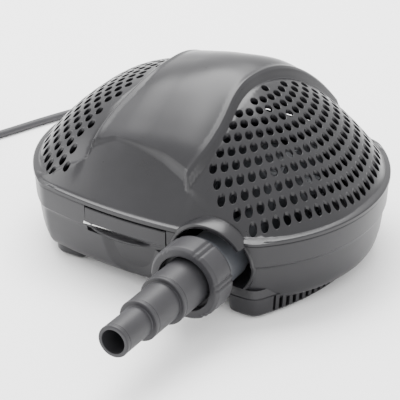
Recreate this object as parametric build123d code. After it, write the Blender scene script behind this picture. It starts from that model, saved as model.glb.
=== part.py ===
from build123d import *
import math
import os

# Submersible pond pump in a two-part perforated case, millimetres, +Z up.
# The case is modelled about its own plan centre: +X to the outlet side, -Y to the front.
# place() then shifts everything so that the origin is the bottom centre of the whole pump.

# ---- driving dimensions: case outline in plan ----
HALF_WIDTH = 141.5          # plan half-width at the rim
HALF_DEPTH = 110.6          # plan half-depth at the rim, on the centre line
END_ARC_R = 127.7           # radius of the two round ends
FRONT_ARC_R = 380.0         # radius of the nearly flat front and rear
CORNER_R = 20.0             # where the ends meet the front and rear
WALL = 3.0

# ---- driving dimensions: case heights ----
FOOT_Z = 1.0                # underside of the two pods, above the rubber feet
FLOOR_Z = 10.0              # underside of the tray between the pods
CREASE_Z = 44.0             # lower edge of the skirt band
SPLIT_Z = 63.6              # joint line between the two case halves
RIM_Z = 67.0                # top of the flange edge
DOME_RISE = 83.0            # parabolic part of the dome
DOME_BASE = 5.0             # extra steepness close to the rim
DOME_POWER = 2.6            # squareness of the dome's contours
DOME_STEEPEN = 8            # how sharply the dome steepens at its base
DIP = 10.0                  # the left half of the dome is this much flatter,
DIP_X = -45.0               # about here
DIP_REACH = 45.0
BAND_RAISE = 3.5            # smooth saddle band, proud of the perforated domes
BAND_HALF = 39.0            # half-width of the band at its straight side
BAND_LEAN = 0.30            # how fast the band flares towards its wide corner
BAND_REACH = 84.0           # where the band ends, front and rear
SPLIT_GAP = 0.3
SKIRT_STEP = 3.5            # the wall below the skirt band is set in by this
SCOOP_AT = (-8.0, -170.0)   # centre of the shallow finger scoop under the latch
SCOOP_R = 70.0
SCOOP_MID_Z = 26.0
SCOOP_HEIGHT = 38.0
SKIN = 3.4                  # dome wall, measured straight down

# ---- perforation ----
HOLE_D = 6.0
HOLE_PITCH = 8.8            # along the outermost row
PITCH_EASE = 0.08           # each row inwards is spaced this much closer
ROW_PITCH = 8.05            # between rows
FIRST_ROW = 11.2            # first row, in from the rim
ROWS = 11
HOLE_EDGE = 8.0             # hole centre to the band's edge
HOLE_REACH = 89.5           # the rows stop here, short of the front and rear facets
SLOT_W = 3.0
SLOT_PITCH = 6.6
SLOT_TOP = 17.0

# ---- pods: (half-length, inner edge, outer edge at its ends) of the right and left one ----
RIGHT_POD = (97.0, 70.0, 98.0)
LEFT_POD = (88.0, 62.0, 90.0)
POD_OUTER = 122.0           # outermost point of a pod's bow
POD_TOP = 24.0
POD_CORNER = 9.0
SLOT_BOW_R = 195.0          # the slots follow a bow of about this radius
SLOT_HALF_COUNT = 13
SLOT_BOTTOM = 4.0

# ---- outlet, union nut and stepped hose tail ----
OUTLET_X = 61.0
OUTLET_Z = 44.0
ARCH_R = 30.5               # opening in the case around the nut
BEZEL_R = 34.5              # raised arch round that opening
HOOD_Y = (-111.4, -80.0)    # the arch stands a little proud of the front facet
NUT_R = 29.5
NUT_FRONT = -141.6
NUT_REAR = -119.0
NUT_LIP = 7.0
NUT_OPENING_R = 21.9
THREAD_R = 23.9             # G 1 1/2 outside thread
THREAD_GAP = 0.35
PIPE_END = -128.0
TAIL_STEPS = ((19.0, -171.1), (16.0, -203.7), (12.5, -236.7))
TAIL_WALL = 3.05
TAIL_COLLAR = 4.0
GASKET = 1.9

# ---- pump and motor, on an axis along X ----
AXIS_Z = 57.0
CHAMBER_R = 30.0
CHAMBER_X = (48.0, 74.0)
VOLUTE_R = 34.3
COVER_R = 41.0
COVER_T = 4.0
BRANCH_R = 13.0             # outlet branch beside the chamber, inside the case
BRANCH_WALL = 2.5
PIPE_R = 21.5
PIPE_BORE_R = 17.0
CONE_Y = (-85.0, -50.0)     # where the branch widens to the outlet pipe
INLET_R = 14.0
INLET_END = 92.0
SCREW_PCD_R = 37.5
SHAFT_R = 2.0
BUSH_GAP = 0.05
MOTOR_R = 40.0
MOTOR_X = (-62.0, 40.0)
CAN_R = 19.2
CAN_T = 1.2
MAGNET_R = 17.0
MAGNET_X = (-28.0, 36.0)
STATOR_R = 34.0
STATOR_X = (-24.0, 26.0)
POLES = 6
VANES = 6
BUFFER_X = (-42.0, 20.0)    # rubber blocks under the motor
BUFFER_Y = (-26.0, 26.0)
BUFFER_TOP = 20.0

# ---- rear hinge, front latch ----
HINGE_Y = 112.0
HINGE_Z = 64.0
HINGE_PIN_R = 1.8
KNUCKLE_R = 4.5
HINGE_X = (-52.0, 52.0)
EAR_HALF = 6.0              # half-width of the cover's middle knuckle
EAR_GAP = 0.3
EAR_END = 13.0              # outer end of the case's knuckles, from the hinge's middle
LATCH_X = (-48.0, 25.0)
LATCH_Z = (46.0, 61.6)
LATCH_AXIS = (-105.8, 48.2)    # y and z of the latch's pin
LATCH_T = 3.4
LATCH_PIN_R = 1.2
LATCH_PIN_X = (LATCH_X[0] - 1.5, LATCH_X[1] + 1.5)
LATCH_PULL_HALF = 29.0      # half-width of the crescent lip below the latch
LATCH_SWEEP_Z = 42.8        # the lip swings down to just above this

# ---- rubber feet ----
FOOT_PADS = ((92.0, -72.0), (92.0, 72.0), (-90.0, -66.0), (-90.0, 66.0))
FOOT_PAD_R = 6.0

# ---- mains cable ----
CABLE_R = 3.25
EXIT_X = -70.0
EXIT_Z = 36.0
EXIT_WALL_Y = 100.0
GLAND_R = 8.0
RELIEF_END = 134.0
FLOOR = CABLE_R + 0.05
COIL_CENTRE = (-337.0, -20.0)
COIL_TURN_R = 58.0
COIL_LAYERS = 5
PLUG_R = 13.0
PLUG_NECK_R = 10.5
PIN_R = 2.4
PIN_HALF = 9.5              # half the distance between the plug's two pins
CABLE_ROUTE = (
    (EXIT_X, RELIEF_END, EXIT_Z),
    (EXIT_X - 1, RELIEF_END + 22, EXIT_Z - 1),
    (EXIT_X - 9, RELIEF_END + 46, EXIT_Z - 16),
    (EXIT_X - 28, RELIEF_END + 68, FLOOR),
    (EXIT_X - 62, RELIEF_END + 76, FLOOR),
    (-176, 190, FLOOR),
    (-203, 145, FLOOR),
    (-226, 98, FLOOR),
    (-243, 55, FLOOR),
    (-262, 18, FLOOR),
    (COIL_CENTRE[0] + COIL_TURN_R, COIL_CENTRE[1] + 6, FLOOR),
)

TAIL_TIP = TAIL_STEPS[-1][1]
REAR = HINGE_Y + KNUCKLE_R
CENTRE_Y = -(TAIL_TIP + REAR) / 2


# ---------------------------------------------------------------- helpers
def rod(radius, start, end):
    """Cylinder between two points."""
    a, b = Vector(*start), Vector(*end)
    return Plane(origin=a, z_dir=b - a) * Cylinder(
        radius, (b - a).length, align=(Align.CENTER, Align.CENTER, Align.MIN))


def rod_x(radius, x0, x1, y=0.0, z=AXIS_Z):
    return rod(radius, (x0, y, z), (x1, y, z))


def rod_y(radius, y0, y1, x=OUTLET_X, z=OUTLET_Z):
    return rod(radius, (x, y0, z), (x, y1, z))


def block(x, y, z):
    """Box from three (low, high) pairs."""
    centre = ((x[0] + x[1]) / 2, (y[0] + y[1]) / 2, (z[0] + z[1]) / 2)
    return Pos(*centre) * Box(x[1] - x[0], y[1] - y[0], z[1] - z[0])


def around_x(shape, count, start=0.0):
    """Copies of a shape, spaced evenly about the motor axis."""
    axis = Axis((0, 0, AXIS_Z), (1, 0, 0))
    return [shape.rotate(axis, start + i * 360 / count) for i in range(count)]


def outline_corner(inset):
    """Where the end arc meets the front arc, for an outline set in from the rim."""
    end_x = HALF_WIDTH - END_ARC_R
    end_r = END_ARC_R - inset
    front_r = FRONT_ARC_R - inset
    front_y = FRONT_ARC_R - HALF_DEPTH
    reach = math.hypot(end_x, front_y)
    along = (end_r ** 2 - front_r ** 2 + reach ** 2) / (2 * reach)
    across = math.sqrt(end_r ** 2 - along ** 2)
    ux, uy = -end_x / reach, front_y / reach
    return end_x + ux * along + uy * across, uy * along - ux * across


def outline(inset=0.0, corner=CORNER_R):
    """Plan outline of the case: two end arcs, two nearly flat arcs, rounded corners."""
    x, y = outline_corner(inset)
    y = -abs(y)
    half_w, half_d = HALF_WIDTH - inset, HALF_DEPTH - inset
    front = ThreePointArc((-x, y), (0, -half_d), (x, y))
    right = ThreePointArc((x, y), (half_w, 0), (x, -y))
    rear = ThreePointArc((x, -y), (0, half_d), (-x, -y))
    left = ThreePointArc((-x, -y), (-half_w, 0), (-x, y))
    face = make_face([front, right, rear, left])
    return fillet(face.vertices(), max(corner - inset, 4.0))


def prism(face, z0, z1, taper=0.0):
    return extrude(Pos(0, 0, z0) * face, z1 - z0, taper=taper)


def dome_height(x, y):
    """Height of the dome: a parabola over rounded-square contours, flatter on the left."""
    base_x, base_y = HALF_WIDTH - 5.5, HALF_DEPTH - 1.5
    rho = (abs(x / base_x) ** DOME_POWER + abs(y / base_y) ** DOME_POWER) ** (1 / DOME_POWER)
    dip = DIP * math.exp(-((x - DIP_X) / DIP_REACH) ** 2) * max(0.0, 1 - rho ** 2)
    return RIM_Z + DOME_RISE * (1 - rho ** 2) + DOME_BASE * (1 - rho ** DOME_STEEPEN) - dip


def dome_solid(raise_by):
    """Everything below the dome's surface, over the case's whole plan."""
    step = 10
    rows = [[Vector(x, y, dome_height(x, y) + raise_by) for x in range(-145, 146, step)]
            for y in range(-115, 116, step)]
    surface = Face.make_surface_from_array_of_points(rows, tol=0.1, min_deg=3, max_deg=3)
    return extrude(surface, 140, dir=(0, 0, -1))


def band_edge(y):
    """Right-hand edge of the band; the left-hand edge is the same, turned half round."""
    return BAND_HALF + BAND_LEAN / 2 * (y + math.sqrt(y * y + 400))


def band_plan(inset=0.0):
    """Plan shape of the smooth band between the domes."""
    ys = (inset - BAND_REACH, -30, 30, BAND_REACH - inset)
    right = Spline([(band_edge(y) - inset, y) for y in ys])
    left = Spline([(inset - band_edge(-y), y) for y in ys])
    front = Line(left @ 0, right @ 0)
    rear = Line(left @ 1, right @ 1)
    return make_face([right, left, front, rear])


def hole_centres():
    """Hole centres of the right dome, in staggered arcs about the centre of its round end."""
    end_x = HALF_WIDTH - END_ARC_R
    centres = []
    for row in range(ROWS):
        radius = END_ARC_R - FIRST_ROW - row * ROW_PITCH
        pitch = HOLE_PITCH - row * PITCH_EASE
        count = int(radius * math.pi / 2 / pitch)
        for i in range(-count, count + 1):
            angle = (i + 0.5 * ((row + 1) % 2)) * pitch / radius
            x, y = end_x + radius * math.cos(angle), radius * math.sin(angle)
            if x > band_edge(y) + HOLE_EDGE and abs(y) < HOLE_REACH:
                centres.append((x, y))
    return centres


# ---------------------------------------------------------------- case
def upper_shell():
    """Perforated cover: flange, two domes, smooth band and the arch over the union nut."""
    plan = outline()
    outer = dome_solid(0) & prism(outline(1.5), SPLIT_Z, 160)
    band = dome_solid(BAND_RAISE) & prism(band_plan(), SPLIT_Z, 165)
    flange = prism(plan, SPLIT_Z + SPLIT_GAP, RIM_Z)
    hood = rod_y(BEZEL_R, *HOOD_Y) - block((0, 140), (-120, -60), (0, SPLIT_Z + SPLIT_GAP))
    inner = dome_solid(-SKIN) & prism(outline(WALL + 2.5), 0, 160)
    inner += dome_solid(BAND_RAISE - SKIN) & prism(band_plan(WALL), SPLIT_Z, 165)
    shell = outer + band + flange + hood
    shell -= inner
    shell -= block((-200, 200), (-200, 200), (0, SPLIT_Z + SPLIT_GAP))
    shell -= rod_y(ARCH_R, -130, -70)
    drills = []
    for x, y in hole_centres():
        drills.append(Pos(x, y, 110) * Cylinder(HOLE_D / 2, 100))
        drills.append(Pos(-x, -y, 110) * Cylinder(HOLE_D / 2, 100))
    shell -= drills
    for x in HINGE_X:
        shell += hinge_ear(x - EAR_HALF, x + EAR_HALF, SPLIT_Z + SPLIT_GAP, RIM_Z)
    for x in HINGE_X:
        shell -= rod_x(HINGE_PIN_R + BUSH_GAP, x - 20, x + 20, HINGE_Y, HINGE_Z)
        for low, high in outer_ears(x):
            shell -= rod_x(KNUCKLE_R + 0.5, low - EAR_GAP, high + EAR_GAP, HINGE_Y, HINGE_Z)
    return shell


def outer_ears(x):
    """X spans of the case's two knuckles, on both sides of the cover's one."""
    near = EAR_HALF + EAR_GAP
    return (x - EAR_END, x - near), (x + near, x + EAR_END)


def hinge_ear(x0, x1, z0, z1):
    """Knuckle and the web that ties it to the rear of the case."""
    web = block((x0, x1), (HINGE_Y - 8, HINGE_Y), (z0, z1))
    return rod_x(KNUCKLE_R, x0, x1, HINGE_Y, HINGE_Z) + web


def pod(side):
    """Plan of one of the two feet that carry the case: a rounded bow along its end."""
    front, inner, tip = RIGHT_POD if side > 0 else LEFT_POD
    bow = ThreePointArc((side * tip, -front + 5), (side * POD_OUTER, 0), (side * tip, front - 5))
    rear = Line((side * tip, front - 5), (side * inner, front))
    inside = Line((side * inner, front), (side * inner, -front))
    ahead = Line((side * inner, -front), (side * tip, -front + 5))
    return fillet(make_face([bow, rear, inside, ahead]).vertices(), POD_CORNER)


def pod_slots():
    """Water slots cut through the right pod's wall, evenly spaced along its bow."""
    slots = []
    centre_x = POD_OUTER - SLOT_BOW_R
    for i in range(-SLOT_HALF_COUNT, SLOT_HALF_COUNT + 1):
        angle = i * SLOT_PITCH / SLOT_BOW_R
        slot = block((SLOT_BOW_R - 12, SLOT_BOW_R + 12), (-SLOT_W / 2, SLOT_W / 2), (SLOT_BOTTOM, SLOT_TOP))
        slots.append(Pos(centre_x, 0, 0) * slot.rotate(Axis.Z, math.degrees(angle)))
    return slots


def lower_shell():
    """Tray: skirt band, tapered wall, raised floor, two pods, openings for nut and cable."""
    skirt = prism(outline(), CREASE_Z, SPLIT_Z, 0)
    wall = prism(outline(SKIRT_STEP), FLOOR_Z, CREASE_Z, 0)
    wall = fillet(wall.faces().sort_by(Axis.Z)[0].edges(), 8)
    scoop = Pos(*SCOOP_AT, SCOOP_MID_Z) * Cylinder(SCOOP_R, SCOOP_HEIGHT)
    pods = [prism(pod(s), FOOT_Z, POD_TOP) for s in (1, -1)]
    pods = [fillet(p.faces().sort_by(Axis.Z)[0].edges(), 5) for p in pods]
    tray = skirt + wall + pods - scoop
    ledge_z = CREASE_Z + WALL
    hollow = prism(outline(WALL), ledge_z, SPLIT_Z + 1)
    hollow += prism(outline(SKIRT_STEP + WALL), FLOOR_Z + WALL, ledge_z)
    hollow -= Pos(*SCOOP_AT, SCOOP_MID_Z) * Cylinder(SCOOP_R + WALL, SCOOP_HEIGHT + 2 * WALL)
    wells = [prism(offset(pod(s), -WALL), FOOT_Z + WALL, POD_TOP) for s in (1, -1)]
    tray = tray - hollow - wells - pod_slots()
    backing = block((LATCH_X[0] - 4, LATCH_X[1] + 4), (-108, -99), (CREASE_Z - 4, SPLIT_Z - 0.4))
    tray += backing & prism(outline(2), 0, 80)
    tray -= block((LATCH_X[0] - 0.5, LATCH_X[1] + 0.5), (-125, -102.3), (44.5, 90))
    tray -= block((LATCH_X[0] - 0.5, LATCH_X[1] + 0.5), (-125, -106.0), (LATCH_SWEEP_Z, 90))
    tray -= rod_x(LATCH_PIN_R, *LATCH_PIN_X, *LATCH_AXIS)
    tray -= rod_y(ARCH_R, -130, -70)
    tray -= rod_y(GLAND_R, 85, 125, EXIT_X, EXIT_Z)
    for x in HINGE_X:
        for low, high in outer_ears(x):
            tray += hinge_ear(low, high, SPLIT_Z - 8, SPLIT_Z)
    for x in HINGE_X:
        near = EAR_HALF + EAR_GAP
        tray -= rod_x(HINGE_PIN_R, x - EAR_END, x + EAR_END, HINGE_Y, HINGE_Z)
        tray -= rod_x(KNUCKLE_R + 0.5, x - near, x + near, HINGE_Y, HINGE_Z)
    for x, y in FOOT_PADS:
        tray -= Pos(x, y, 1) * Cylinder(FOOT_PAD_R, 4)
    return tray


def rubber_feet():
    """Four pads pressed into the pods; the pump stands on them."""
    return Compound([Pos(x, y, 1.5) * Cylinder(FOOT_PAD_R, 3) for x, y in FOOT_PADS])


def hinge_pins():
    return Compound([rod_x(HINGE_PIN_R, x - EAR_END, x + EAR_END, HINGE_Y, HINGE_Z) for x in HINGE_X])


def crescent(x, half, depth):
    """Face between a chord of the panel and an arc that bulges to the front."""
    bulge = ThreePointArc((-half, 0), (0, -depth), (half, 0))
    return Pos(x, -109.0, 0) * make_face([bulge, Line(bulge @ 1, bulge @ 0)])


def latch():
    """Front clip that swings out about its lower edge; the lip below it is the finger pull."""
    x0, x1 = LATCH_X
    panel = prism(outline(), LATCH_Z[0], LATCH_Z[1]) - prism(outline(LATCH_T), 0, 90)
    panel = panel & block((x0, x1), (-130, -90), (0, 90))
    barrel = rod_x(2.4, x0 + 4, x1 - 4, *LATCH_AXIS)
    lip_x = (x0 + x1) / 2 - 2
    lip = prism(crescent(lip_x, LATCH_PULL_HALF, 5.5), 45.2, 51.0)
    pocket = prism(crescent(lip_x, LATCH_PULL_HALF - 3, 3.6), 47.0, 52.0)
    pocket += block((lip_x - 22, lip_x + 22), (-110.7, -108.8), (47, 51.4))
    body = panel + barrel + lip - pocket
    return body - rod_x(LATCH_PIN_R + BUSH_GAP, x0 - 5, x1 + 5, *LATCH_AXIS)


def latch_pin():
    return rod_x(LATCH_PIN_R, *LATCH_PIN_X, *LATCH_AXIS)


# ---------------------------------------------------------------- outlet and hose tail
def union_nut():
    """Union nut: grip ribs in pairs, captive lip in front, plain running bore for the thread."""
    nut = rod_y(NUT_R, NUT_FRONT, NUT_REAR)
    nut = chamfer(nut.edges().filter_by(GeomType.CIRCLE).sort_by(Axis.Y)[0], 3.5)
    nut -= rod_y(NUT_OPENING_R, NUT_FRONT - 1, NUT_REAR)
    nut -= rod_y(THREAD_R + THREAD_GAP, NUT_FRONT + NUT_LIP, NUT_REAR + 1)
    grooves = []
    centre = Axis((OUTLET_X, 0, OUTLET_Z), (0, 1, 0))
    for i in range(8):
        for side in (-3.2, 3.2):
            groove = rod_y(0.9, NUT_FRONT + 4, NUT_REAR + 1, OUTLET_X, OUTLET_Z + NUT_R + 0.2)
            grooves.append(groove.rotate(centre, i * 45 + 22.5 + side * 2))
    return nut - grooves


def hose_tail():
    """Stepped tail for three hose sizes, with the collar that the nut pulls up."""
    back = PIPE_END - GASKET - 0.1
    body = rod_y(THREAD_R - 0.4, back - TAIL_COLLAR, back)
    start = back - TAIL_COLLAR
    bore_start = back + 1
    bores = []
    for radius, front in TAIL_STEPS:
        step = rod_y(radius, front, start)
        edge = step.edges().filter_by(GeomType.CIRCLE).sort_by(Axis.Y)[0]
        body += chamfer(edge, 1.2)
        bore_front = front - 1 if front == TAIL_TIP else front + TAIL_WALL
        bores.append(rod_y(radius - TAIL_WALL, bore_front, bore_start))
        start = front + 0.5
    return body - bores


def tail_gasket():
    back = PIPE_END - 0.1
    return rod_y(THREAD_R - 1.5, back - GASKET, back) - rod_y(17.0, back - GASKET - 1, back + 1)


def branch_cone(front_r, rear_r):
    """Widening between the chamber's branch and the outlet pipe."""
    start = Plane(origin=(OUTLET_X, CONE_Y[0], OUTLET_Z), z_dir=(0, 1, 0))
    length = CONE_Y[1] - CONE_Y[0]
    return start * Cone(front_r, rear_r, length, align=(Align.CENTER, Align.CENTER, Align.MIN))


def volute_housing():
    """Impeller chamber with its tangential outlet pipe and threaded end."""
    x0, x1 = CHAMBER_X
    shell = rod_x(VOLUTE_R, x0 - 4, x1) + rod_x(COVER_R, x1 - 4, x1)
    shell += rod_y(PIPE_R, -112, CONE_Y[0]) + rod_y(THREAD_R, PIPE_END, -112)
    shell += rod_y(BRANCH_R, CONE_Y[1], 0) + branch_cone(PIPE_R, BRANCH_R)
    shell += around_x(rod_x(4.5, x1 - 12, x1, SCREW_PCD_R), 4, 45)
    shell -= rod_x(CHAMBER_R, x0, x1 + 1)
    shell -= rod_y(PIPE_BORE_R, PIPE_END - 1, CONE_Y[0]) + rod_y(BRANCH_R - BRANCH_WALL, CONE_Y[1], 0)
    shell -= branch_cone(PIPE_BORE_R, BRANCH_R - BRANCH_WALL)
    shell -= rod_x(CAN_R, x0 - 5, x0 + 1)
    shell -= around_x(rod_x(1.6, x1 - 9, x1 + 1, SCREW_PCD_R), 4, 45)
    for i in range(5):
        y = PIPE_END + 2.0 + 2.309 * i
        shell -= rod_y(THREAD_R + 1, y, y + 1.1) - rod_y(THREAD_R - 1.1, y - 1, y + 2)
    groove = rod_x(VOLUTE_R, x1 - 1.5, x1 + 1) - rod_x(VOLUTE_R - 2.5, x1 - 2, x1 + 2)
    return shell - groove


def housing_seal():
    x1 = CHAMBER_X[1]
    return rod_x(VOLUTE_R - 0.1, x1 - 1.5, x1) - rod_x(VOLUTE_R - 2.4, x1 - 2, x1 + 1)


def suction_cover():
    """Cover with the inlet throat; three spokes carry the front bush."""
    x1 = CHAMBER_X[1]
    cover = rod_x(COVER_R, x1, x1 + COVER_T) + rod_x(INLET_R + 3, x1, INLET_END)
    cover -= rod_x(INLET_R, x1 - 1, INLET_END + 1)
    spoke = block((x1, x1 + 8), (0, INLET_R + 1), (AXIS_Z - 1.2, AXIS_Z + 1.2))
    hub = rod_x(6.0, x1, x1 + 10)
    cover += [hub] + around_x(spoke, 3, 90)
    cover -= rod_x(3.6, x1 - 1, x1 + 8)
    return cover - around_x(rod_x(2.1, x1 - 1, x1 + 9, SCREW_PCD_R), 4, 45)


def inlet_guard():
    """Ring with cross bars, pushed on to the throat to keep debris off the impeller."""
    guard = rod_x(INLET_R + 5, INLET_END - 8, INLET_END + 3) - rod_x(INLET_R + 3, INLET_END - 9, INLET_END)
    cell = []
    for i in range(-2, 3):
        for j in range(-2, 3):
            if abs(i) + abs(j) < 4:
                y, z = i * 5.6, AXIS_Z + j * 5.6
                cell.append(block((INLET_END - 1, INLET_END + 4), (y - 2, y + 2), (z - 2, z + 2)))
    return guard - cell


def screw(x_head, length, y, z):
    """Pan-head screw pointing towards -X, with a cross recess."""
    head = rod((2.9), (x_head, y, z), (x_head + 2.2, y, z))
    shank = rod(1.6, (x_head - length, y, z), (x_head, y, z))
    cross = Pos(x_head + 2, y, z) * (Box(1.6, 3.2, 0.8) + Box(1.6, 0.8, 3.2))
    return head + shank - cross


def cover_screws():
    x_head = CHAMBER_X[1] + COVER_T
    return Compound(around_x(screw(x_head, 10, SCREW_PCD_R, AXIS_Z), 4, 45))


def front_bush():
    x1 = CHAMBER_X[1]
    return rod_x(3.6, x1 + 0.5, x1 + 8) - rod_x(SHAFT_R + BUSH_GAP, x1, x1 + 9)


def rear_bush():
    x0 = MAGNET_X[0] - 8
    return rod_x(5.0, x0, x0 + 6) - rod_x(SHAFT_R + BUSH_GAP, x0 - 1, x0 + 7)


def bush_seat():
    """Rubber cup that cushions the rear bush in the end of the can."""
    x0 = MAGNET_X[0] - 10
    return rod_x(8.0, x0, x0 + 8) - rod_x(5.0, x0 + 2, x0 + 9)


def rotor_can():
    """Thin closed tube that keeps the water on the rotor's side."""
    x0, x1 = MAGNET_X[0] - 12, CHAMBER_X[0]
    can = rod_x(CAN_R, x0, x1) - rod_x(CAN_R - CAN_T, x0 + 2, x1 + 1)
    seat = rod_x(10.0, x0, x0 + 9) - rod_x(8.0, x0 + 2, x0 + 10)
    return can + seat


def rotor_magnet():
    magnet = rod_x(MAGNET_R, *MAGNET_X)
    return magnet - rod_x(SHAFT_R, MAGNET_X[0] - 1, MAGNET_X[1] + 1)


def thrust_washers():
    rear = rod_x(5.5, MAGNET_X[0] - 1.6, MAGNET_X[0] - 0.4)
    front = rod_x(5.0, CHAMBER_X[1] - 1.4, CHAMBER_X[1] - 0.4)
    bore = rod_x(SHAFT_R, MAGNET_X[0] - 5, CHAMBER_X[1] + 5)
    return Compound([rear - bore, front - bore])


def shaft():
    body = rod_x(SHAFT_R, MAGNET_X[0] - 7, CHAMBER_X[1] + 7)
    return chamfer(body.edges().filter_by(GeomType.CIRCLE), 0.4)


def impeller():
    """Open impeller: back disc, hub and backward-curved vanes."""
    x0 = CHAMBER_X[0] + 3
    x1 = CHAMBER_X[1] - 1.5
    wheel = rod_x(CHAMBER_R - 3, x0, x0 + 2.5) + rod_x(6.5, MAGNET_X[1], x1)
    outer_arc = RadiusArc((5, 0), (26, 6), 24)
    inner_arc = RadiusArc((5, -2), (26, 4), 24)
    tip = Line(outer_arc @ 1, inner_arc @ 1)
    root = Line(inner_arc @ 0, outer_arc @ 0)
    face = make_face([outer_arc, tip, inner_arc, root])
    vane = extrude(Plane(origin=(x0 + 2, 0, AXIS_Z), x_dir=(0, 1, 0), z_dir=(1, 0, 0)) * face, x1 - x0 - 2)
    wheel += around_x(vane, VANES)
    return wheel - rod_x(SHAFT_R, MAGNET_X[1] - 1, x1 + 1)


# ---------------------------------------------------------------- motor
def tooth(x0, x1, half, low, high):
    return block((x0, x1), (-half, half), (AXIS_Z + low, AXIS_Z + high))


def stator_core():
    """Laminated ring with six teeth reaching in to the can."""
    x0, x1 = STATOR_X
    ring = rod_x(STATOR_R, x0, x1) - rod_x(STATOR_R - 5, x0 - 1, x1 + 1)
    ring += around_x(tooth(x0, x1, 3.5, 20.0, STATOR_R - 3), POLES, 30)
    return ring - rod_x(CAN_R + 0.3, x0 - 1, x1 + 1)


def windings():
    """One copper coil round each tooth."""
    x0, x1 = STATOR_X
    outer = tooth(x0 - 5, x1 + 5, 6.2, 21.5, STATOR_R - 6)
    coil = outer - tooth(x0 - 0.3, x1 + 0.3, 3.7, 15, STATOR_R)
    return Compound(around_x(coil, POLES, 30))


def motor_housing():
    """Potted motor can with cooling ribs, closed at its cable end."""
    x0, x1 = MOTOR_X
    can = rod_x(MOTOR_R - 2, x0, x1)
    can += [rod_x(MOTOR_R, x, x + 3) for x in range(-56, 34, 10)]
    can += around_x(rod_x(4.5, x1 - 14, x1, SCREW_PCD_R), 4, 0)
    can -= rod_x(STATOR_R, x0 + 4, x1 + 1)
    can -= rod_x(6.0, x0 - 1, x0 + 5)
    for y in BUFFER_Y:
        for x in BUFFER_X:
            can += block((x - 8, x + 8), (y - 6, y + 6), (BUFFER_TOP, 34.0))
    can -= rod_x(STATOR_R, x0 + 4, x1 + 1)
    return can - around_x(rod_x(1.6, x1 - 10, x1 + 1, SCREW_PCD_R), 4, 0)


def motor_flange():
    """Ring that closes the motor against the back of the volute."""
    x0, x1 = MOTOR_X[1], CHAMBER_X[0] - 4
    ring = rod_x(COVER_R, x0, x1) - rod_x(CAN_R, x0 - 1, x1 + 1)
    return ring - around_x(rod_x(1.6, x0 - 1, x1 + 1, SCREW_PCD_R), 4, 0)


def motor_screws():
    x_head = CHAMBER_X[0] - 4
    return Compound(around_x(screw(x_head, 12, SCREW_PCD_R, AXIS_Z), 4, 0))


def motor_buffers():
    """Rubber blocks that carry the motor on the tray floor."""
    floor = FLOOR_Z + WALL
    pads = []
    for x in BUFFER_X:
        for y in BUFFER_Y:
            pads.append(block((x - 7, x + 7), (y - 5, y + 5), (floor, BUFFER_TOP)))
    return Compound(pads)


def lead_gland():
    x0 = MOTOR_X[0]
    body = rod_x(9.0, x0 - 6, x0) + rod_x(6.0, x0, x0 + 5)
    return body - rod_x(CABLE_R, x0 - 7, x0 + 6)


def inner_lead():
    """Cable inside the case, from the motor to the cable gland."""
    x0 = MOTOR_X[0]
    points = [(x0 - 4, 0, AXIS_Z), (x0 - 26, 0, AXIS_Z), (x0 - 36, 24, AXIS_Z - 9),
              (x0 - 30, 48, AXIS_Z - 16), (EXIT_X, 70, EXIT_Z), (EXIT_X, EXIT_WALL_Y - 4, EXIT_Z)]
    path = FilletPolyline(*points, radius=9)
    return tube_along(path, CABLE_R)


def tube_along(path, radius):
    section = Plane(origin=path @ 0, z_dir=path % 0) * Circle(radius)
    return sweep(section, path=path)


# ---------------------------------------------------------------- cable outside the case
def cable_gland():
    """Nut and body that seal the cable in the rear wall."""
    body = rod_y(GLAND_R, EXIT_WALL_Y - 8, 108, EXIT_X, EXIT_Z)
    nut = Plane(origin=(EXIT_X, EXIT_WALL_Y - 5.5, EXIT_Z), z_dir=(0, -1, 0)) * extrude(
        RegularPolygon(12, 6), 6)
    collar = rod_y(11.0, 106.5, 110, EXIT_X, EXIT_Z)
    return body + nut + collar - rod_y(CABLE_R, 80, 120, EXIT_X, EXIT_Z)


def strain_relief():
    """Tapered ribbed sleeve where the cable leaves the case."""
    base = Plane(origin=(EXIT_X, 110, EXIT_Z), z_dir=(0, 1, 0))
    length = RELIEF_END - 110
    cone = base * Cone(6.5, CABLE_R + 1.2, length, align=(Align.CENTER, Align.CENTER, Align.MIN))
    ring_gap = []
    for i in range(4):
        y = 114 + i * 4.5
        gap = rod_y(8, y, y + 1.6, EXIT_X, EXIT_Z)
        ring_gap.append(gap - rod_y(CABLE_R + 1.1, y - 1, y + 3, EXIT_X, EXIT_Z))
    return cone - ring_gap - rod_y(CABLE_R, 100, 140, EXIT_X, EXIT_Z)


def route_radii(points, diameter):
    """Bend radius at each inner point: 0.45 of the shorter run over tan(half the turn)."""
    radii = []
    for before, here, after in zip(points, points[1:], points[2:]):
        a = Vector(*here) - Vector(*before)
        b = Vector(*after) - Vector(*here)
        turn = math.radians(a.get_angle(b))
        radii.append(0.45 * min(a.length, b.length) / math.tan(turn / 2))
    print("cable bend radii:", [round(r) for r in radii], "least allowed", 5 * diameter)
    return radii


def power_cable():
    path = FilletPolyline(*CABLE_ROUTE, radius=route_radii(CABLE_ROUTE, 2 * CABLE_R))
    tube = tube_along(path, CABLE_R)
    print("cable tube length", round(path.length), "volume ratio",
          round(tube.volume / (math.pi * CABLE_R ** 2 * path.length), 4))
    return tube


def cable_coil():
    """Outer shape of the wound-up cable: a ring with rounded edges."""
    bundle = COIL_LAYERS * CABLE_R
    ring = Cylinder(COIL_TURN_R + bundle, 2 * bundle) - Cylinder(COIL_TURN_R - bundle, 3 * bundle)
    ring = fillet(ring.edges().filter_by(GeomType.CIRCLE), CABLE_R)
    return Pos(COIL_CENTRE[0], COIL_CENTRE[1], bundle) * ring


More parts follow.
